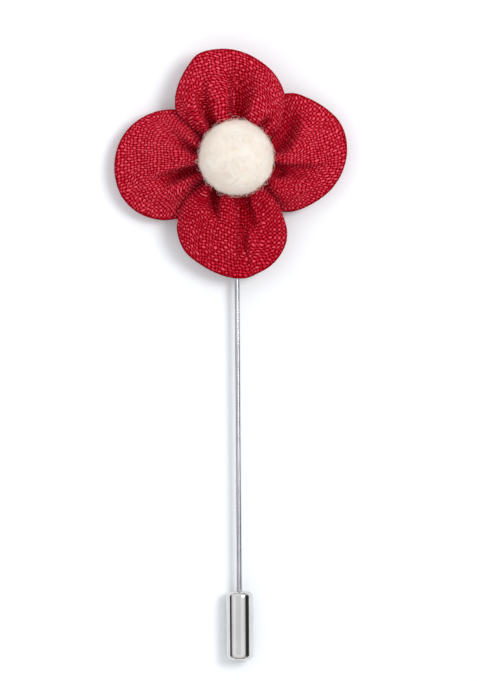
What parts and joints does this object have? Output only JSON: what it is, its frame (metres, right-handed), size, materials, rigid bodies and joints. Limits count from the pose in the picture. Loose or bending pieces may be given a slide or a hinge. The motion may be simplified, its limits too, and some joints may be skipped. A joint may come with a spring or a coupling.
{
  "type": "flower lapel pin with a barrel clutch",
  "caption": "Fabric flower lapel pin: gathered linen petals around a felt ball, on a long stick pin whose point is covered by a sliding barrel clutch.",
  "frame": {"origin": "middle of the whole outline, on the surface that the pin lies on", "axes": "+Z is the face of the flower, up from the surface it lies on; +Y runs along the shaft from the clutch to the flower"},
  "size_m": [0.0434, 0.1142, 0.0161],
  "materials": {
    "petal_linen": "red plain-weave linen, matt with a faint sheen on the threads",
    "ball_felt": "cream felted wool, soft and slightly fuzzy",
    "pin_steel": "drawn and plated steel wire, bright",
    "clutch_plating": "polished nickel plating"
  },
  "bodies": {
    "flower_pin": {"petal_top": "petal_linen", "petal_right": "petal_linen", "petal_bottom": "petal_linen", "petal_left": "petal_linen", "felt_ball": "ball_felt", "stick_pin": "pin_steel"},
    "clutch": {"clutch": "clutch_plating"}
  },
  "joints": [
    {"name": "clutch_slide", "type": "slide", "parent": "flower_pin", "child": "clutch", "axis": [0, -1, 0], "range_m": [0, 0.02]}
  ]
}
